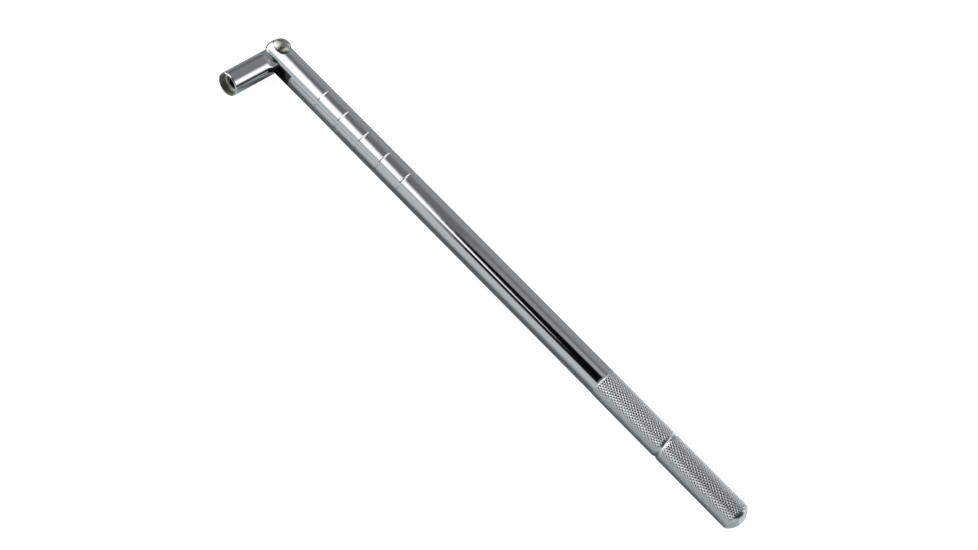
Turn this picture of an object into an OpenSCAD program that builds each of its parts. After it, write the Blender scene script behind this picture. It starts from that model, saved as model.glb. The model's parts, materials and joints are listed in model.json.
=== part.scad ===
// Round steel lever with a knurled grip at one end and a hinged, internally threaded head
// at the other.
//
// The bar lies along X, the rivet that the head turns on is upright along Z, and the head
// points along -Y, square to the bar. Shapes are drawn with the rivet's axis at the origin,
// and in_place() then moves them so that the origin is the middle of the underside.

/* [Bar] */
// Diameter of the bar
bar_d = 12.7; // [11.5:0.1:15]
// Distance from the rivet's axis to the tip of the handle
reach = 276; // [200:0.1:400]

/* [Fulcrum grooves] */
// Number of grooves that the lever can be braced at
groove_count = 5; // [1:1:8]
// Distance from the rivet's axis to the first groove
groove_first = 28.9; // [18:0.1:40]
// Distance from one groove to the next
groove_pitch = 12.7; // [4:0.1:15]
// Width of a groove at the bar's surface
groove_w = 0.8; // [0.4:0.05:2]
// Depth of a groove
groove_depth = 0.3; // [0.1:0.05:0.6]

/* [Grip] */
// Length of the knurled band
knurl_len = 75.7; // [45:0.1:110]
// Height that the knurl stands above the bar
knurl_rise = 0.15; // [0.05:0.05:0.5]
// Length of the bevel at each end of the knurled band
knurl_bevel = 0.3; // [0.1:0.05:1]
// Distance from the start of the knurled band to the groove in it
grip_groove_at = 36.1; // [10:0.1:40]
// Width of the groove in the grip
grip_groove_w = 1.2; // [0.5:0.05:3]
// Depth of the groove in the grip, below the top of the knurl
grip_groove_depth = 0.5; // [0.2:0.05:1]
// Height of the crowned end of the handle
crown_h = 3.3; // [1.5:0.1:5]

/* [Fork] */
// Distance from the rivet's axis to the end of the bar
end_reach = 6.1; // [6:0.1:8]
// Radius that rounds the end of the bar
end_round = 4.1; // [3.5:0.1:5.5]
// Clearance between the tongue and the fork, on each side
side_clear = 0.075; // [0.05:0.005:0.3]
// Gap between the end of the tongue and the floor of the slot
slot_floor_gap = 7.1; // [0.3:0.1:10]

/* [Rivet] */
// Diameter of the shank
rivet_d = 4.2; // [3:0.1:5]
// Radial clearance between the shank and the fork
ear_clear = 0.02; // [0.01:0.005:0.05]
// Radial clearance between the shank and the tongue
swivel_clear = 0.06; // [0.02:0.01:0.1]
// Diameter of the dome of each rivet head
rivet_head_d = 7.6; // [7.3:0.1:8.6]
// Height of the dome of each rivet head
rivet_dome = 1.65; // [1:0.05:3.5]
// Diameter of the collar that each dome stands on
rivet_collar_d = 7.1; // [5:0.1:7.2]
// Height of the collar
rivet_collar_h = 0.85; // [0.3:0.05:1.5]
// Depth of the flat that each collar is seated on
seat_depth = 0.15; // [0.05:0.05:0.5]
// Width of the flat outside the collar, all round
seat_margin = 0.2; // [0.1:0.05:0.6]

/* [Head] */
// Diameter of the head
head_d = 10.72; // [10.4:0.02:14]
// Distance from the rivet's axis to the head's own axis, toward the handle
head_offset = 0.4; // [0:0.05:0.5]
// Distance from the rivet's axis to the mouth
head_reach = 30.2; // [29:0.1:50]
// Thickness of the tongue
tongue_t = 6.2; // [3:0.05:7]
// Gap between the bar and the shoulder of the head
shoulder_gap = 2.6; // [0.5:0.05:4.5]
// Bevel on the edge of the shoulder
shoulder_bevel = 0.45; // [0.1:0.05:0.8]
// Bevel on the outer edge of the mouth
mouth_bevel = 0.35; // [0.1:0.05:0.45]
// Diameter of the counterbore in the mouth
counterbore_d = 9.4; // [8:0.1:9.6]
// Depth of the counterbore
counterbore_depth = 3.3; // [1:0.1:4.5]
// Core diameter of the thread
thread_core_d = 7.04; // [5:0.02:7.6]
// Length of the thread
thread_len = 12; // [6:0.1:13]
// Full angle of the drill point, and of the step below the counterbore
drill_angle = 118; // [90:1:140]

/* [Hidden] */
$fn = 96;
over = 1;                                 // how far a cutter runs past what it cuts

bar_r = bar_d / 2;
head_r = head_d / 2;
knurl_r = bar_r + knurl_rise;
knurl_end = reach - crown_h;
knurl_start = knurl_end - knurl_len;
crown_r = (bar_r * bar_r + crown_h * crown_h) / (2 * crown_h);
slot_w = tongue_t + 2 * side_clear;
slot_floor = head_r + head_offset + slot_floor_gap;
shoulder_at = bar_r + shoulder_gap;
ear_rise = max(0, slot_w / 2 - bar_r + end_round);    // foot of an ear above the rounding's centre
ear_reach = end_reach - end_round + sqrt(pow(end_round, 2) - pow(ear_rise, 2));
back_reach = max(head_r - head_offset, ear_reach);    // past the rivet's axis
seat_z = bar_r - seat_depth;
seat_r = rivet_collar_d / 2 + seat_margin;
rivet_top = seat_z + rivet_collar_h + rivet_dome;
dome_r = (pow(rivet_head_d / 2, 2) + pow(rivet_dome, 2)) / (2 * rivet_dome);

// Axial length of a drilled cone whose radius goes from one value to another
function drill_cone(r_wide, r_narrow) = (r_wide - r_narrow) / tan(drill_angle / 2);

// Moves a shape from the rivet's axis to the middle of the underside
module in_place() {
    translate([(back_reach - reach) / 2, (head_reach - knurl_r) / 2, rivet_top]) children();
}

// Half section of a round-bottomed groove: w wide at radius r, d deep, centred at height at
module groove_section(r, at, w, d) {
    cutter_r = (w * w / 4 + d * d) / (2 * d);
    translate([r - d + cutter_r, at]) circle(r = cutter_r);
}

// Half section of the bar, with the bar's axis as the Y axis and the rivet at Y = 0
module bar_section() {
    difference() {
        union() {
            translate([0, end_round - end_reach]) {
                translate([bar_r - end_round, 0]) intersection() {
                    circle(r = end_round);
                    translate([0, -end_round - over]) square([end_round + over, end_round + over]);
                }
                translate([0, -end_round]) square([bar_r - end_round, end_round]);
                square([bar_r, knurl_end + end_reach - end_round]);
            }
            polygon([
                [0, knurl_start],
                [bar_r, knurl_start],
                [knurl_r, knurl_start + knurl_bevel],
                [knurl_r, knurl_end - knurl_bevel],
                [bar_r, knurl_end],
                [0, knurl_end]
            ]);
            intersection() {
                translate([0, reach - crown_r]) circle(r = crown_r);
                translate([0, knurl_end]) square([bar_r, crown_h + over]);
            }
        }
        for (i = [0 : groove_count - 1])
            groove_section(bar_r, groove_first + i * groove_pitch, groove_w, groove_depth);
        groove_section(knurl_r, knurl_start + grip_groove_at, grip_groove_w, grip_groove_depth);
    }
}

// The bar: one solid with its grooves, knurled band, slotted round end and rivet hole
module bar() {
    color([0.78, 0.80, 0.83])
    in_place()
    difference() {
        rotate([0, 90, 0]) rotate_extrude() bar_section();
        translate([-end_reach - over, -bar_r - over, -slot_w / 2])
            cube([slot_floor + end_reach + over, 2 * (bar_r + over), slot_w]);
        cylinder(r = rivet_d / 2 + ear_clear, h = 2 * (bar_r + over), center = true);
        for (side = [-1, 1])
            translate([0, 0, side * (seat_z + over / 2)])
                cylinder(r = seat_r, h = over, center = true);
    }
}

// Half section of the head, with its axis as the Y axis and the rivet at Y = 0
module head_section() {
    intersection() {
        circle(r = head_r);
        translate([0, -head_r - over]) square([head_r + over, head_r + over]);
    }
    polygon([
        [0, 0],
        [head_r, 0],
        [head_r, head_reach - mouth_bevel],
        [head_r - mouth_bevel, head_reach],
        [0, head_reach]
    ]);
}

// Half section of what is bored out of the mouth
module bore_section() {
    step_at = head_reach - counterbore_depth;
    thread_at = step_at - drill_cone(counterbore_d / 2, thread_core_d / 2);
    point_at = thread_at - thread_len;
    polygon([
        [0, head_reach + over],
        [counterbore_d / 2, head_reach + over],
        [counterbore_d / 2, step_at],
        [thread_core_d / 2, thread_at],
        [thread_core_d / 2, point_at],
        [0, point_at - drill_cone(thread_core_d / 2, 0)]
    ]);
}

// Half section of the ring that bevels the shoulder, where the flats end
module shoulder_bevel_section() {
    polygon([
        [head_r - shoulder_bevel, shoulder_at - over],
        [head_r + over, shoulder_at - over],
        [head_r + over, shoulder_at + shoulder_bevel + over],
        [head_r, shoulder_at + shoulder_bevel],
        [head_r - shoulder_bevel, shoulder_at]
    ]);
}

// The head's body: a turned socket whose back is milled flat on two sides to make the tongue
module head_body() {
    difference() {
        rotate([90, 0, 0]) rotate_extrude() head_section();
        rotate([90, 0, 0]) rotate_extrude() bore_section();
        for (side = [-1, 1]) {
            flat_z = side * (tongue_t / 2 + head_r / 2 + over / 2);
            translate([0, (head_r + over - shoulder_at) / 2, flat_z])
                cube([2 * (head_r + over), shoulder_at + head_r + over, head_r + over], center = true);
            intersection() {
                rotate([90, 0, 0]) rotate_extrude() shoulder_bevel_section();
                translate([0, -shoulder_at, flat_z])
                    cube([2 * (head_r + over), 4 * over, head_r + over], center = true);
            }
        }
    }
}

// The head, with the hole that it swings on
module swivel_head() {
    color([0.74, 0.77, 0.80])
    in_place()
    difference() {
        translate([head_offset, 0, 0]) head_body();
        cylinder(r = rivet_d / 2 + swivel_clear, h = 2 * (bar_r + over), center = true);
    }
}

// Half section of the rivet above its middle, with its axis as the Y axis
module rivet_half_section() {
    square([rivet_d / 2, seat_z]);
    translate([0, seat_z]) square([rivet_collar_d / 2, rivet_collar_h]);
    intersection() {
        translate([0, rivet_top - dome_r]) circle(r = dome_r);
        translate([0, seat_z + rivet_collar_h]) square([rivet_head_d / 2, rivet_dome + over]);
    }
}

// The rivet: a shank through fork and tongue, with a domed head on each side
module pivot_rivet() {
    color([0.60, 0.58, 0.54])
    in_place() {
        rotate_extrude() rivet_half_section();
        mirror([0, 0, 1]) rotate_extrude() rivet_half_section();
    }
}

bar();
swivel_head();
pivot_rivet();
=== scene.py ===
# %% [markdown]
# # A chromed lever with a hinged, threaded head
#
# The tool is three pieces of steel: a round bar, a head that swings on its end, and the
# rivet that joins them. Each one is a turned part that is then milled, bored or knurled,
# so each is made here the same way: a half section is spun into a solid, and the solid is
# then cut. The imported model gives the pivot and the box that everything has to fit.

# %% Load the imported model
import json
import math

import bmesh
import bpy
from mathutils import Euler, Matrix, Vector


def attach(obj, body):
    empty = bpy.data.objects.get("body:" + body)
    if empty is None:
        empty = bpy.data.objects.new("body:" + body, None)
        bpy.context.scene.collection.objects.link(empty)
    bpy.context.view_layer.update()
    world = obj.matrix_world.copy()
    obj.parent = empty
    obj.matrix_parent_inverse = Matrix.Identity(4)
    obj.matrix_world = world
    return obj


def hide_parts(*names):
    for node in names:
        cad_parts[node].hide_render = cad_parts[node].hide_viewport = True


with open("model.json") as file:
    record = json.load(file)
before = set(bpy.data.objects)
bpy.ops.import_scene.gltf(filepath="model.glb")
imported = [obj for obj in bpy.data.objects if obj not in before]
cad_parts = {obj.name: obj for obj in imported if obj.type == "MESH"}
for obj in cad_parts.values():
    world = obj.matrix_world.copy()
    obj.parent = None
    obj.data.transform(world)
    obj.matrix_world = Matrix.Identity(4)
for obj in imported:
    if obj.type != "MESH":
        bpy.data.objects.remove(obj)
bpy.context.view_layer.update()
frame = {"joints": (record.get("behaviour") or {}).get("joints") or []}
PIVOT = Vector(frame["joints"][0]["pos_m"])
print("pivot at", [round(c * 1000, 2) for c in PIVOT], "mm")

# %% [markdown]
# ## Sizes
#
# Everything is in metres, so `MM` turns the sizes of a workshop drawing into them. The
# pieces are drawn round the rivet's axis, where they meet, and moved to the pivot last.

# %% Sizes of the bar, the head and the rivet
MM = 0.001
STEPS = 132                      # faces round a turned surface, four to each knurl tooth
NEAR = 0.01 * MM                 # points closer than this are in one plane

BAR_R = 6.35 * MM
REACH = 276 * MM                 # rivet's axis to the tip of the handle
END_REACH, END_ROUND = 6.1 * MM, 4.1 * MM      # rivet's axis to the slotted end, and its rounding
SLOT_HALF = BAR_R / 2            # half the width of the slot
SLOT_FLOOR = 12.86 * MM
GROOVES_AT = [(28.9 + 12.7 * i) * MM for i in range(5)]
GROOVE_W, GROOVE_DEPTH = 0.8 * MM, 0.21 * MM

KNURL_R = 6.5 * MM
KNURL_FROM, KNURL_TO = 197 * MM, 272.7 * MM
KNURL_TEETH = 33                 # round the bar
KNURL_PITCH = 2.02 * MM          # along the bar
KNURL_DEPTH = 0.15 * MM
KNURL_BEVEL = 0.3 * MM
GRIP_GROOVE_AT, GRIP_GROOVE_W, GRIP_GROOVE_DEPTH = 233.1 * MM, 1.2 * MM, 0.47 * MM

HEAD_R = 5.36 * MM
HEAD_OFFSET = 0.4 * MM           # rivet's axis to the head's own axis, toward the handle
HEAD_REACH = 30.2 * MM           # rivet's axis to the mouth
SHOULDER_AT = 8.95 * MM
SHOULDER_BEVEL, SHOULDER_WEAR = 0.45 * MM, 2.2 * MM
WEAR_DEPTH = 0.3 * MM
TONGUE_HALF = 3.1 * MM
MOUTH_BEVEL = 0.35 * MM
COUNTERBORE_R, COUNTERBORE_DEPTH = 4.7 * MM, 3.3 * MM
THREAD_CORE_R, THREAD_ROOT_R = 3.52 * MM, 3.875 * MM
THREAD_PITCH = 25.4 * MM / 32
THREAD_LENGTH = 12 * MM
LEAD_IN_R = THREAD_ROOT_R + 0.05 * MM         # where the counterbore's cone meets the thread
DRILL_ANGLE = math.radians(118)
FLANK_ANGLE = math.radians(30)   # of the thread, from square to the axis

# Widths of the broken edges
SLOT_EDGE, TONGUE_EDGE, CROWN_EDGE, RIVET_EDGE = 0.25 * MM, 0.07 * MM, 0.06 * MM, 0.1 * MM

RIVET_R = 2.1 * MM
RIVET_SEAT = 6.2 * MM            # height of the flat under the rivet's collar
COLLAR_R, COLLAR_H = 3.55 * MM, 0.85 * MM
DOME_R, DOME_H = 3.8 * MM, 1.65 * MM
print("bar", 2 * BAR_R / MM, "mm thick, head", 2 * HEAD_R / MM, "mm, handle reaches", REACH / MM, "mm")

# %% [markdown]
# ## Spinning a half section
#
# A lathe makes a solid from a profile, and `bmesh.ops.spin` does the same: it sweeps a
# chain of edges round an axis. `use_merge` welds the last step to the first, so there is
# no seam. The points of a profile are pairs, the distance along the axis and the radius.

# %% Profiles and the lathe
def arc(centre, radius, start, end, steps):
    """Points on a circle, from one angle to another, in degrees from the axis."""
    angles = [math.radians(start + (end - start) * i / steps) for i in range(steps + 1)]
    return [(centre[0] + radius * math.cos(a), centre[1] + radius * math.sin(a)) for a in angles]


def turn(profile, axis="X", bm=None):
    """Adds the surface that a profile makes when it is spun round X or Z."""
    bm = bm or bmesh.new()
    if axis == "X":
        points, spindle = [(along, 0, radius) for along, radius in profile], (1, 0, 0)
    else:
        points, spindle = [(radius, 0, along) for along, radius in profile], (0, 0, 1)
    verts = [bm.verts.new(p) for p in points]
    edges = [bm.edges.new(pair) for pair in zip(verts, verts[1:])]
    bmesh.ops.spin(bm, geom=verts + edges, cent=(0, 0, 0), axis=spindle, dvec=(0, 0, 0),
                   angle=math.tau, steps=STEPS, use_merge=True, use_duplicate=False)
    bmesh.ops.remove_doubles(bm, verts=bm.verts, dist=0.0005 * MM)
    return bm


def ball_end(bm, radius):
    """Adds half a sphere that closes the end of a rod, with its poles upright."""
    ball = bmesh.ops.create_uvsphere(bm, u_segments=STEPS, v_segments=STEPS // 2, radius=radius)
    front = [v for v in ball["verts"] if v.co.x > 0.0005 * MM]
    bmesh.ops.delete(bm, geom=front, context="VERTS")
    bmesh.ops.remove_doubles(bm, verts=bm.verts, dist=0.002 * MM)


def cut_flat(bm, end, height):
    """Cuts the faces short of one end along two level planes, above and below the middle."""
    for side in (-1, 1):
        near = [f for f in bm.faces if f.calc_center_median().x < end]
        geom = near + [e for f in near for e in f.edges] + [v for f in near for v in f.verts]
        geom = list(dict.fromkeys(geom))
        bmesh.ops.bisect_plane(bm, geom=geom, dist=0.001 * MM, plane_co=(0, 0, side * height),
                               plane_no=(0, 0, side))


def groove(at, surface, width, depth):
    """Points down into a V-shaped groove and out again, with a support point at each lip."""
    half, floor = width / 2, 0.05 * MM
    return [(at - half - 0.15 * MM, surface), (at - half, surface), (at - floor, surface - depth),
            (at + floor, surface - depth), (at + half, surface), (at + half + 0.15 * MM, surface)]


# %% [markdown]
# ## Finishing a piece
#
# Real edges are never sharp. Plating rounds them, and the thin bright line along an edge
# is what tells the eye that a part is metal. So the creases get a small bevel, and the
# Weighted Normal modifier then lets the large faces set the shading, so that the bevels
# don't bend the reflections beside them. Only the knurl and the narrow grooves keep sharp
# edges, because a smooth normal across such small faces would mirror the wrong place.

# %% Break the edges and hand a piece over
def creases(bm, degrees=32):
    """The edges that stand out by more than an angle."""
    limit = math.radians(degrees)
    return [e for e in bm.edges if e.is_manifold and e.calc_face_angle(0) > limit]


def break_edges(bm, edges, width, segments=3):
    bmesh.ops.bevel(bm, geom=edges, offset=width, offset_type="OFFSET", segments=segments,
                    profile=0.5, affect="EDGES", clamp_overlap=True, material=-1)


def piece(bm, name, body, node, finish):
    """Makes an object of a bmesh that is drawn round the rivet, and says what it stands for."""
    bmesh.ops.translate(bm, verts=bm.verts, vec=PIVOT)
    open_edges = sum(1 for e in bm.edges if not e.is_manifold)
    mesh = bpy.data.meshes.new(name)
    bm.to_mesh(mesh)
    bm.free()
    obj = bpy.data.objects.new(name, mesh)
    bpy.context.scene.collection.objects.link(obj)
    mesh.materials.append(finish)
    shading = obj.modifiers.new("Even shading", "WEIGHTED_NORMAL")
    shading.keep_sharp = True
    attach(obj, body)
    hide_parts(node)
    print(name, len(mesh.polygons), "faces,", open_edges, "open edges")


# %% [markdown]
# ## Shader maths
#
# A finish is a handful of masks: how deep, how far along, how worn. Writing those as
# Python expressions keeps them readable, so a small class wraps a socket and turns each
# operator into a Math node. One method adds every other kind of node.

# %% Sockets that Python can add and multiply
class Wire:
    """One output socket of a finish, which arithmetic can be done on."""

    def __init__(self, finish, socket):
        self.finish, self.socket = finish, socket

    def maths(self, operation, *values):
        return self.finish.node("ShaderNodeMath", {"operation": operation}, dict(enumerate(values)))

    def __add__(self, other):
        return self.maths("ADD", self, other)

    def __radd__(self, other):
        return self.maths("ADD", other, self)

    def __sub__(self, other):
        return self.maths("SUBTRACT", self, other)

    def __rsub__(self, other):
        return self.maths("SUBTRACT", other, self)

    def __mul__(self, other):
        return self.maths("MULTIPLY", self, other)

    def __rmul__(self, other):
        return self.maths("MULTIPLY", other, self)

    def __pow__(self, other):
        return self.maths("POWER", self, other)

    def steps(self, low, high):
        """0 below low, 1 above high, and a smooth rise between them."""
        return self.finish.node("ShaderNodeMapRange", {"interpolation_type": "SMOOTHSTEP"},
                                {"Value": self, "From Min": low, "From Max": high})


class Finish:
    """The nodes of one material, or of the world."""

    def __init__(self, owner):
        owner.use_nodes = True
        self.owner, self.tree = owner, owner.node_tree
        self.tree.nodes.clear()

    def node(self, kind, settings=None, sockets=None, output=0):
        made = self.tree.nodes.new(kind)
        for name, value in (settings or {}).items():
            setattr(made, name, value)
        for name, value in (sockets or {}).items():
            if isinstance(value, Wire):
                self.tree.links.new(value.socket, made.inputs[name])
            else:
                made.inputs[name].default_value = value
        return Wire(self, made.outputs[output]) if made.outputs else None

    def where(self):
        """The point's own place on the piece, in metres."""
        return self.node("ShaderNodeTexCoord", output="Object")

    def place(self):
        """The same place as three separate numbers."""
        where = self.where()
        return [self.node("ShaderNodeSeparateXYZ", sockets={0: where}, output=i) for i in range(3)]

    def noise(self, scale, detail, at=None):
        sockets = {"Vector": at or self.where(), "Scale": scale, "Detail": detail}
        return self.node("ShaderNodeTexNoise", sockets=sockets, output=0)

    def mix(self, share, dark, light):
        return self.node("ShaderNodeMix", {"data_type": "RGBA"}, {0: share, 6: dark, 7: light}, output=2)


def rgb(red, green, blue):
    return (red, green, blue, 1.0)


# %% [markdown]
# ## Chrome and nickel
#
# Chrome is a mirror with a faint blue-grey cast. What makes it look real is what spoils
# the mirror: fine rings left by polishing on the lathe, a slight unevenness of the plate,
# and a duller, darker film deep in the grip's groove and inside the bore. The slot is
# painted near black inside, as painted shade. The distance from a piece's own axis gives the
# depth, so the masks for grip, slot and bore follow the shape without a texture. The rivet
# is satin nickel, with painted shade on its collar below the dome.

# %% Masks on a turned piece
def lathe_place(finish, way):
    """Distance from the rivet along the piece, from its axis, and from its middle plane."""
    x, y, z = finish.place()
    x, y, up = x - PIVOT.x, y - PIVOT.y, z - PIVOT.z
    along, across = (x, y) if way == "X" else (0 - y, x - HEAD_OFFSET)
    return along, (across * across + up * up) ** 0.5, up.maths("ABSOLUTE", up)


def rings(finish, along, scale):
    """Noise that changes only along an axis, as lathe marks do."""
    return finish.noise(scale, 2.0, finish.node("ShaderNodeCombineXYZ", sockets={0: along}))


def metal(finish, colour, roughness, height, strength, distance):
    """Closes a finish: bare metal with a fine bump."""
    bump = finish.node("ShaderNodeBump", sockets={
        "Height": height, "Strength": strength, "Distance": distance})
    shader = finish.node("ShaderNodeBsdfPrincipled", sockets={
        "Base Color": colour, "Metallic": 1.0, "Roughness": roughness, "Normal": bump})
    finish.node("ShaderNodeOutputMaterial", sockets={"Surface": shader})
    return finish.owner


def chrome(finish, along, bright, dull_and_shade, dull_and_shade_share, satin):
    """Bright chrome where the share is 0, and a rougher, darker colour where it is 1: a duller film in
    the grip groove and the bore, and painted shade in the slot. Satin adds roughness.
    """
    plate, smear = finish.noise(180.0, 2.0), finish.noise(900.0, 4.0)
    marks = rings(finish, along, 2600.0)
    colour = finish.mix(dull_and_shade_share * (0.8 + smear * 0.2), bright, dull_and_shade)
    roughness = 0.01 + marks * 0.01 + smear * 0.01 + dull_and_shade_share * 0.25 + satin
    return metal(finish, colour, roughness, plate * 0.5 + marks * 0.02, 0.25, 0.1 * MM)


# %% Chrome on the bar
finish = Finish(bpy.data.materials.new("Polished chrome, bar"))
along, radius, height = lathe_place(finish, "X")
on_grip = along.steps(196.2 * MM, 196.4 * MM)
short_of_crown = 1 - along.steps(272 * MM, 273 * MM)
# Darker and duller where the grip is cut deepest, in the grip groove.
in_grooves = (1 - radius.steps(6.10 * MM, 6.40 * MM)) * on_grip * short_of_crown * 0.2
# Painted shade: the slot's walls and floor are painted near black.
in_slot = (1 - height.steps(3.19 * MM, 3.35 * MM)) * (1 - along.steps(12.9 * MM, 13.1 * MM))
bar_chrome = chrome(finish, along, bright=rgb(0.72, 0.74, 0.76), dull_and_shade=rgb(0.05, 0.05, 0.055),
                    dull_and_shade_share=in_grooves + in_slot, satin=on_grip * 0.2)

# %% Chrome on the head
finish = Finish(bpy.data.materials.new("Polished chrome, head"))
along, radius, height = lathe_place(finish, "Y")
in_bore = 1 - radius.steps(COUNTERBORE_R + 0.02 * MM, COUNTERBORE_R + 0.1 * MM)
in_bore = in_bore * along.steps(11 * MM, 11.5 * MM)
head_chrome = chrome(finish, along, bright=rgb(0.70, 0.725, 0.735), dull_and_shade=rgb(0.50, 0.50, 0.43),
                     dull_and_shade_share=in_bore * 0.85, satin=in_bore * 0.25)

# %% Nickel on the rivet
finish = Finish(bpy.data.materials.new("Satin nickel, rivet"))
along, radius, height = lathe_place(finish, "X")
grain = finish.noise(3500.0, 4.0)
# Painted shade: the collar under each dome is painted dark.
out_of_collar_shade = height.steps(RIVET_SEAT + COLLAR_H - 0.1 * MM, RIVET_SEAT + COLLAR_H + 0.2 * MM)
nickel = finish.mix(grain, rgb(0.46, 0.45, 0.40), rgb(0.56, 0.545, 0.485))
nickel = finish.mix(out_of_collar_shade, rgb(0.20, 0.195, 0.185), nickel)
rivet_nickel = metal(finish, nickel, 0.28 + grain * 0.06, grain, 0.3, 0.02 * MM)
print("finishes:", bar_chrome.name, head_chrome.name, rivet_nickel.name)

# %% [markdown]
# ## The bar
#
# One profile holds the whole bar from its rounded end to the crowned tip. A row of
# cylinders would be quicker, but a mirror shows every seam between them. The profile
# starts a little off the axis, where the slot will take the steel away in any case. The
# knurl needs rows of points a quarter of a pitch apart.

# %% The bar's profile
def quarter_rows(start, end):
    """Places a quarter of a knurl pitch apart that lie well inside a stretch of the bar."""
    step = KNURL_PITCH / 4
    first = math.ceil((start + 0.2 * step) / step)
    last = math.floor((end - 0.2 * step) / step)
    return [i * step for i in range(first, last + 1)]


bands = [(KNURL_FROM, GRIP_GROOVE_AT - GRIP_GROOVE_W / 2),
         (GRIP_GROOVE_AT + GRIP_GROOVE_W / 2, KNURL_TO)]

profile = arc((END_ROUND - END_REACH, BAR_R - END_ROUND), END_ROUND, 170, 90, 20) + [(SLOT_FLOOR, BAR_R)]
for at in GROOVES_AT:
    profile += groove(at, BAR_R, GROOVE_W, GROOVE_DEPTH)
profile += [(KNURL_FROM - 0.3 * MM, BAR_R), (KNURL_FROM, BAR_R)]
profile += [(x, KNURL_R) for x in quarter_rows(KNURL_FROM + KNURL_BEVEL, bands[0][1] - 0.1 * MM)]
profile += groove(GRIP_GROOVE_AT, KNURL_R - 0.15 * MM, GRIP_GROOVE_W, GRIP_GROOVE_DEPTH - 0.15 * MM)[1:-1]
profile += [(x, KNURL_R) for x in quarter_rows(bands[1][0] + 0.1 * MM, KNURL_TO - KNURL_BEVEL)]
crown = REACH - KNURL_TO
crown_r = (BAR_R ** 2 + crown ** 2) / (2 * crown)
edge_angle = math.degrees(math.asin(BAR_R / crown_r))
tip = arc((REACH - crown_r, 0), crown_r, edge_angle, 0, 16)
profile += tip[:-1] + [(REACH, 0)]

bar = turn(profile)
print("bar:", len(bar.faces), "faces")

# %% [markdown]
# ## The slot
#
# A slitting cutter takes the middle out of the round end and leaves two ears. A Boolean
# modifier could do it, but the slivers that it leaves show in a mirror finish. So two
# planes cut the faces along the slot's edges first. Then the middle faces are deleted, and
# the two walls and the floor are filled in.

# %% Mill the slot
def in_slot(face):
    middle = face.calc_center_median()
    return abs(middle.z) < SLOT_HALF and middle.x < SLOT_FLOOR


cut_flat(bar, SLOT_FLOOR, SLOT_HALF)
bmesh.ops.delete(bar, geom=[f for f in bar.faces if in_slot(f)], context="FACES")
rim = [e for e in bar.edges if e.is_boundary]
corners = {}
for v in dict.fromkeys(v for e in rim for v in e.verts):
    for side in (-1, 1):
        if abs(v.co.x - SLOT_FLOOR) < NEAR and abs(v.co.z - side * SLOT_HALF) < NEAR:
            corners.setdefault(side, []).append(v)
floor_edges = {side: bar.edges.new(pair) for side, pair in corners.items()}
for side in (-1, 1):
    wall = [e for e in rim if all(abs(v.co.z - side * SLOT_HALF) < NEAR for v in e.verts)]
    bmesh.ops.edgeloop_fill(bar, edges=wall + [floor_edges[side]])
floor_rim = [e for e in rim if all(abs(v.co.x - SLOT_FLOOR) < NEAR for v in e.verts)]
bmesh.ops.edgeloop_fill(bar, edges=floor_rim + list(floor_edges.values()))
bmesh.ops.recalc_face_normals(bar, faces=bar.faces)

slot_edges = [e for e in creases(bar) if max(v.co.x for v in e.verts) < SLOT_FLOOR + 0.1 * MM
              and e not in floor_edges.values()]
break_edges(bar, slot_edges, SLOT_EDGE)
print("slot cut,", len(slot_edges), "edges broken")

# %% [markdown]
# ## The knurl
#
# Two crossed sets of helical grooves leave a field of small pyramids. In steps of half a
# pitch, a pyramid's height falls evenly with the distance along the bar plus the distance
# round it, so each point only has to move in or out to its height. The tops are worn, so
# they are cut off a little.

# %% Roll the knurl
def fraction(value):
    """How far a number is from the nearest whole one."""
    return abs(value - round(value))


def pyramid(x, angle):
    """1 at the point of a pyramid and 0 in the grooves round it."""
    along = x / (KNURL_PITCH / 2)
    around = angle * KNURL_TEETH / math.pi
    return 1 - 2 * max(fraction((along + around) / 2), fraction((along - around) / 2))


knurled = set()
for start, end in bands:
    for v in bar.verts:
        if start + 0.05 * MM < v.co.x < end - 0.05 * MM:
            angle = math.atan2(v.co.y, v.co.z)
            height = KNURL_R + 0.04 * MM - KNURL_DEPTH * (1 - pyramid(v.co.x, angle))
            radius = min(KNURL_R, height)
            v.co.y, v.co.z = radius * math.sin(angle), radius * math.cos(angle)
            knurled.update(v.link_faces)
knurl_faces = bmesh.ops.triangulate(bar, faces=list(knurled), quad_method="SHORT_EDGE",
                                    ngon_method="BEAUTY")["faces"]
for face in bar.faces:
    face.smooth = True
for face in knurl_faces:
    face.smooth = False
print("knurl:", len(knurl_faces), "faces")

# %% Finish the bar's other edges and hand it over
def middle_of(edge):
    return (edge.verts[0].co + edge.verts[1].co) / 2


for edge in creases(bar, 25):
    if SLOT_FLOOR + 1 * MM < middle_of(edge).x < KNURL_FROM - 1 * MM:
        edge.smooth = False
crown_rim = [e for e in creases(bar, 25) if middle_of(e).x > KNURL_TO - 0.1 * MM
             and not any(f in knurled for f in e.link_faces)]
break_edges(bar, crown_rim, CROWN_EDGE, 2)
piece(bar, "lever_bar", "lever", "bar", bar_chrome)

# %% [markdown]
# ## The head
#
# The head is drawn along X like the bar, and turned to its own axis at the end. Outside it
# is a plain rod with a ball end. Its back is milled flat on two sides, which makes the
# tongue that swings in the slot and leaves a shoulder where the full round begins.

# %% The head's outside and counterbore
step_at = HEAD_REACH - COUNTERBORE_DEPTH
thread_from = step_at - (COUNTERBORE_R - LEAD_IN_R) / math.tan(DRILL_ANGLE / 2)
outside = [(0, HEAD_R), (SHOULDER_AT, HEAD_R)]
outside += [(SHOULDER_AT + SHOULDER_WEAR * i / 8, HEAD_R) for i in range(1, 9)]
outside += [(HEAD_REACH - MOUTH_BEVEL, HEAD_R), (HEAD_REACH, HEAD_R - MOUTH_BEVEL),
           (HEAD_REACH, COUNTERBORE_R), (step_at, COUNTERBORE_R), (thread_from, LEAD_IN_R)]
head = turn(outside)
ball_end(head, HEAD_R)
print("head:", len(head.faces), "faces before milling")

# %% Mill the tongue
def beside_tongue(face):
    middle = face.calc_center_median()
    return middle.x < SHOULDER_AT and abs(middle.z) > TONGUE_HALF


def on_shoulder(edge):
    return all(abs(v.co.x - SHOULDER_AT) < NEAR for v in edge.verts)


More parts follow.
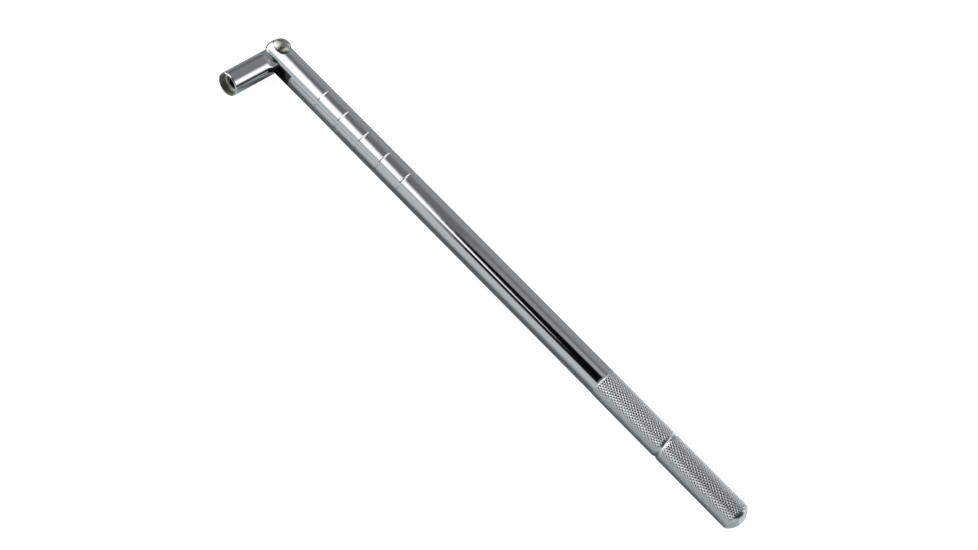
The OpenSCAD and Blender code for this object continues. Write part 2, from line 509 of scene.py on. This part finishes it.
cut_flat(head, SHOULDER_AT, TONGUE_HALF)
bmesh.ops.delete(head, geom=[f for f in head.faces if beside_tongue(f)], context="FACES")
bare = [e for e in head.edges if e.is_boundary and all(v.co.x < SHOULDER_AT + NEAR for v in e.verts)]
for side in (-1, 1):
    own = [e for e in bare if all(v.co.z * side > 0 for v in e.verts)]
    flat = [e for e in own if not on_shoulder(e)]
    ends = [v for edge in flat for v in edge.verts if sum(e in flat for e in v.link_edges) == 1]
    ledge = head.edges.new(ends)
    bmesh.ops.edgeloop_fill(head, edges=flat + [ledge])
    bmesh.ops.edgeloop_fill(head, edges=[e for e in own if on_shoulder(e)] + [ledge])
    print("tongue side", side, "filled inside", len(flat), "edges")

# %% [markdown]
# ## The thread
#
# A tapped hole is one V that climbs a pitch in every turn. `spin` can lift what it sweeps,
# so the profile of one pitch makes the whole helix, and each turn ends on the start of the
# next. Two cuts square to the axis then give it ends that can be bridged to the bore. The
# cone above is a little wider than the thread, so that no face of the bridge is a sliver.

# %% Cut the thread
flank = (THREAD_ROOT_R - THREAD_CORE_R) * math.tan(FLANK_ANGLE)
crest = (THREAD_PITCH - 2 * flank) * 0.45
one_pitch = [(0, THREAD_CORE_R), (crest, THREAD_CORE_R), (crest + flank, THREAD_ROOT_R),
             (THREAD_PITCH - flank, THREAD_ROOT_R), (THREAD_PITCH, THREAD_CORE_R)]
turns = math.ceil(THREAD_LENGTH / THREAD_PITCH) + 2
turn_steps = STEPS // 2
thread_to = thread_from - THREAD_LENGTH

thread = bmesh.new()
start = thread_to - 1.5 * THREAD_PITCH
points = [thread.verts.new((start + along, 0, radius)) for along, radius in one_pitch]
sweep = points + [thread.edges.new(pair) for pair in zip(points, points[1:])]
climb = (THREAD_PITCH / turn_steps, 0, 0)
bmesh.ops.spin(thread, geom=sweep, cent=(0, 0, 0), axis=(1, 0, 0), dvec=climb, angle=math.tau * turns,
               steps=turn_steps * turns, use_merge=False, use_duplicate=False)
bmesh.ops.remove_doubles(thread, verts=thread.verts, dist=0.002 * MM)
for at, way in ((thread_from, 1), (thread_to, -1)):
    geom = thread.verts[:] + thread.edges[:] + thread.faces[:]
    bmesh.ops.bisect_plane(thread, geom=geom, dist=NEAR, plane_co=(at, 0, 0), plane_no=(way, 0, 0),
                           clear_outer=True)
print("thread:", turns, "turns,", len(thread.faces), "faces")

# %% Join the thread to the bore and close the drill point
def loop_at(bm, x):
    """The open edges that lie in one plane square to the axis."""
    return [e for e in bm.edges if e.is_boundary and all(abs(v.co.x - x) < 2 * NEAR for v in e.verts)]


spare = bpy.data.meshes.new("thread")
thread.to_mesh(spare)
thread.free()
head.from_mesh(spare)
bpy.data.meshes.remove(spare)
bmesh.ops.bridge_loops(head, edges=loop_at(head, thread_from))
point_from = thread_to - 0.05 * MM
turn([(point_from, THREAD_CORE_R), (point_from - THREAD_CORE_R / math.tan(DRILL_ANGLE / 2), 0)], bm=head)
bmesh.ops.bridge_loops(head, edges=loop_at(head, thread_to) + loop_at(head, point_from))
bmesh.ops.recalc_face_normals(head, faces=head.faces)
for face in head.faces:
    face.smooth = True
print("head:", sum(1 for e in head.edges if e.is_boundary), "open edges")

# %% Break the head's edges, turn it to its axis and hand it over
def on_tongue_or_mouth(edge):
    return all(v.co.x < SHOULDER_AT - 0.5 * MM or v.co.x > step_at - 0.2 * MM for v in edge.verts)


shoulder_rim = [e for e in creases(head) if on_shoulder(e)]
break_edges(head, shoulder_rim, SHOULDER_BEVEL, 3)
for v in head.verts:
    wear = 1 - (v.co.x - SHOULDER_AT) / SHOULDER_WEAR
    if -0.01 < wear < 1.01 and abs(v.co.z) > TONGUE_HALF:
        share = min(1, (abs(v.co.z) - TONGUE_HALF) / (0.8 * MM))
        sink = 1 - WEAR_DEPTH * wear ** 2 * share / math.hypot(v.co.y, v.co.z)
        v.co.y, v.co.z = v.co.y * sink, v.co.z * sink
others = [e for e in creases(head) if on_tongue_or_mouth(e)]
break_edges(head, others, TONGUE_EDGE, 2)
bmesh.ops.rotate(head, verts=head.verts, cent=(0, 0, 0), matrix=Matrix.Rotation(-math.pi / 2, 3, "Z"))
bmesh.ops.translate(head, verts=head.verts, vec=(HEAD_OFFSET, 0, 0))
piece(head, "head_socket", "head", "swivel_head", head_chrome)

# %% [markdown]
# ## The rivet
#
# The rivet is a shank with the same domed head at each end. Each dome overhangs a short
# collar, which is why a dark crescent shows between the dome and the bar; the collar is also
# painted dark as shade under the dome. Spheres set on cylinders would leave walls inside the
# steel, so one profile is spun round Z instead.

# %% Turn the rivet
sphere_r = (DOME_R ** 2 + DOME_H ** 2) / (2 * DOME_H)
collar_top = RIVET_SEAT + COLLAR_H
top = collar_top + DOME_H
dome_angle = math.degrees(math.asin(DOME_R / sphere_r))
upper = [(RIVET_SEAT, RIVET_R), (RIVET_SEAT, COLLAR_R), (collar_top, COLLAR_R), (collar_top, DOME_R)]
upper += arc((top - sphere_r, 0), sphere_r, dome_angle, 0, 24)[1:-1] + [(top, 0)]
lower = [(-along, radius) for along, radius in reversed(upper)]
rivet = turn(lower + upper, "Z")
bmesh.ops.recalc_face_normals(rivet, faces=rivet.faces)
for face in rivet.faces:
    face.smooth = True
break_edges(rivet, creases(rivet), RIVET_EDGE)
piece(rivet, "rivet", "lever", "pivot_rivet", rivet_nickel)

# %% [markdown]
# ## The camera
#
# A long lens, held to the right of the tool and above it, flattens the perspective, so the
# bar keeps nearly the same width from end to end. The three angles tilt the camera up from
# looking straight down, roll it, and turn it.

# %% Set up the camera
FOCAL_LENGTH = 1800 / 978        # in widths of the frame

lens = bpy.data.cameras.new("Camera")
lens.sensor_width = 36.0
lens.lens = lens.sensor_width * FOCAL_LENGTH
lens.clip_start, lens.clip_end = 0.05, 20.0
camera = bpy.data.objects.new("Camera", lens)
camera.location = PIVOT + Vector((282.0, -451.5, 569.9)) * MM
camera.rotation_euler = Euler([math.radians(a) for a in (35.453, -19.155, 43.117)])
bpy.context.scene.collection.objects.link(camera)
bpy.context.scene.camera = camera
print("camera at", [round(c, 3) for c in camera.location], "with a lens of", round(lens.lens, 1), "mm")

# %% [markdown]
# ## The studio
#
# Chrome has hardly any colour of its own, so it looks like what stands round it. A white
# table and a white room would leave it blank. What draws its shape here is the room: soft
# boxes in front, at the left, behind and at the right, a dark corner, and walls that are a
# dim grey. They are painted into the world as soft-edged patches, placed by direction.
# The camera itself sees the plain white that catalogue pictures have.

# %% The table
TABLE_GLOW, BOX_GLOW = 0.95, 1.45
LIGHT_ON_TABLE = 0.15            # share of the room's light that the table gets
table_mesh = bmesh.new()
bmesh.ops.create_grid(table_mesh, x_segments=1, y_segments=1, size=3.0)
mesh = bpy.data.meshes.new("table")
table_mesh.to_mesh(mesh)
table_mesh.free()
table = bpy.data.objects.new("table", mesh)
bpy.context.scene.collection.objects.link(table)
paper = Finish(bpy.data.materials.new("White table"))
by_camera = paper.node("ShaderNodeLightPath", output="Is Camera Ray")
in_metal = paper.node("ShaderNodeLightPath", output="Is Glossy Ray")
at_x, at_y = paper.place()[:2]
along, back_by = (at_x - PIVOT.x) * (1 / MM), (at_y - PIVOT.y) * (1 / MM)


def band(value, low, low_full, high_full, high):
    """1 between two values, with a smooth edge on each side."""
    return value.steps(low, low_full) * (1 - value.steps(high_full, high))


# The paper's colour carries painted light and shade for the chrome to mirror. It is painted
# brightest in front of the tool and by the grip, and painted dim behind, beside the head and
# under the bar, except for a painted pool of light by the first grooves. It is painted darkest,
# as a shadow, in the corner between the head and the bar.
by_grip = along.steps(190.0, 215.0)
behind, beside = back_by.steps(4.0, 14.0), (0 - along).steps(4.0, 14.0)
far_side_shade = behind.maths("MAXIMUM", behind, beside) * (1 - by_grip)
lit_stretch = band(along, 12.0, 22.0, 38.0, 48.0)
under_bar_shade = back_by.steps(-26.0, -14.0) * (1 - far_side_shade) * (1 - lit_stretch * 0.9)
corner = back_by.steps(-12.0, -8.0) * (1 - far_side_shade) * (1 - along.steps(5.0, 11.0))
# Painted shade and light: darker paper behind, beside the head, under the bar and darkest in the corner,
# lighter paper by the grip.
paper_with_painted_shade = paper.mix(far_side_shade, rgb(0.73, 0.79, 0.80), rgb(0.37, 0.39, 0.395))
paper_with_painted_shade = paper.mix(under_bar_shade, paper_with_painted_shade, rgb(0.50, 0.56, 0.58))
paper_with_painted_shade = paper.mix(corner, paper_with_painted_shade, rgb(0.15, 0.16, 0.17))
paper_with_painted_shade = paper.mix(by_grip * back_by.steps(-2.0, 6.0), paper_with_painted_shade, rgb(0.95, 0.97, 0.98))
surface = paper.node("ShaderNodeBsdfDiffuse", sockets={"Color": paper_with_painted_shade})
strength = (by_camera + in_metal * 0.03) * TABLE_GLOW
glow = paper.node("ShaderNodeEmission", sockets={"Color": rgb(1, 1, 1), "Strength": strength})
both = paper.node("ShaderNodeAddShader", sockets={0: surface, 1: glow})
paper.node("ShaderNodeOutputMaterial", sockets={"Surface": both})
mesh.materials.append(paper.owner)
print("table:", len(paper.tree.nodes), "nodes in its finish")

# %% The room
world = bpy.data.worlds.new("Studio")
bpy.context.scene.world = world
room = Finish(world)
way = room.node("ShaderNodeTexCoord", output="Generated")
right, back, up = (room.node("ShaderNodeSeparateXYZ", sockets={0: way}, output=i) for i in range(3))
tilt = room.node("ShaderNodeMath", {"operation": "ARCTAN2"}, {0: 0 - back, 1: up}) * (180 / math.pi)

# Tilt is 0 straight up, 90 at the horizon in front of the tool and -90 behind it.
# The front box has a soft edge at its left part and tapers to a sharp one at its right.
soft = 1 - (right - tilt * (1 / 275)).steps(-0.408, -0.305)
sharp = (1 - (right - tilt * (1 / 140)).steps(-0.565, -0.475)) * (1 - right.steps(-0.165, -0.135))
taper = right.steps(-0.262, -0.225)
front_box = soft * band(tilt, -32.0, -6.0, 46.5, 63.0) * (1 - taper)
front_box = front_box + sharp * (1 - tilt.steps(49.0, 56.0)) * taper
far_left = (1 - right.steps(-0.96, -0.80)) * (1 - back.steps(0.2, 0.4)) * up.steps(0.0, 0.12)
left_box = (1 - right.steps(-0.62, -0.36)) * (1 - back.steps(-0.15, 0.2)) + far_left
back_box = band(right - back * 0.25, 0.155, 0.455, 0.590, 0.680) * band(back, 0.1, 0.4, 0.62, 0.80)
strip_box = band(right, 0.50, 0.56, 0.66, 0.72) * band(back, -0.52, -0.42, 0.40, 0.60)

back_wall = (1 - tilt.steps(-55.0, -18.0)) * right.steps(-0.7, -0.4) * 0.16
ceiling = right.steps(-0.235, -0.195) * 0.14 + right.steps(-0.18, -0.08) * 0.16
ceiling = band(tilt, -26.0, -6.0, 10.0, 24.0) * ceiling
front_wall = tilt.steps(48.0, 71.0) * 0.45
right_wall = right.steps(0.75, 0.90) * (1 - back.steps(0.2, 0.4)) * 0.4
back_window = band(right, -0.10, 0.02, 0.12, 0.22) * back.steps(0.84, 0.90) * 1.1
far_right = right.steps(0.60, 0.80) * back.steps(0.25, 0.45)
walls = 0.19 + back_wall + back_window + ceiling + front_wall + right_wall
walls = walls * (1 - far_right * 0.75)
dark_corner = (tilt + right * 90).steps(-3.5, 4.8) * (1 - tilt.steps(67.0, 76.5))
dark_corner = dark_corner * right.steps(-0.262, -0.212)

boxes = front_box
for box in (left_box, back_box, strip_box):
    boxes = boxes.maths("MAXIMUM", boxes, box)
# The boxes are hottest at the left, halfway up in front.
hot = band(tilt, 20.0, 32.0, 48.0, 58.0) * (1 - right.steps(-0.44, -0.38)) * 0.9
brightness = walls * (1 - dark_corner * 0.98) * (1 - boxes) + boxes * (hot + BOX_GLOW)
on_table = room.node("ShaderNodeLightPath", output="Is Diffuse Ray")
brightness = brightness * (1 - on_table * (1 - LIGHT_ON_TABLE))

seen = room.node("ShaderNodeLightPath", output="Is Camera Ray")
tint = room.mix(tilt.steps(-10.0, 10.0), rgb(0.95, 0.98, 1.0), rgb(0.91, 0.98, 1.0))
tint = room.mix(boxes.steps(0.2, 0.8), tint, rgb(1, 1, 1))
room_light = room.node("ShaderNodeBackground", sockets={"Color": tint, "Strength": brightness})
white = room.node("ShaderNodeBackground", sockets={"Color": rgb(1, 1, 1), "Strength": 1.0})
surface = room.node("ShaderNodeMixShader", sockets={0: seen, 1: room_light, 2: white})
room.node("ShaderNodeOutputWorld", sockets={"Surface": surface})
print("room:", len(room.tree.nodes), "nodes")

# %% The lamp behind the tool
window = bpy.data.lights.new("Window behind", "SUN")
window.energy, window.angle = 3.3, math.radians(50)
window_at = bpy.data.objects.new("Window behind", window)
window_at.rotation_euler = Vector((0.15, 0.80, 0.58)).to_track_quat("Z", "Y").to_euler()
window_at.visible_glossy = False
bpy.context.scene.collection.objects.link(window_at)
print("lamp of", round(window.energy, 1), "behind the tool")

# %% Output
scene = bpy.context.scene
scene.view_settings.view_transform = "Standard"
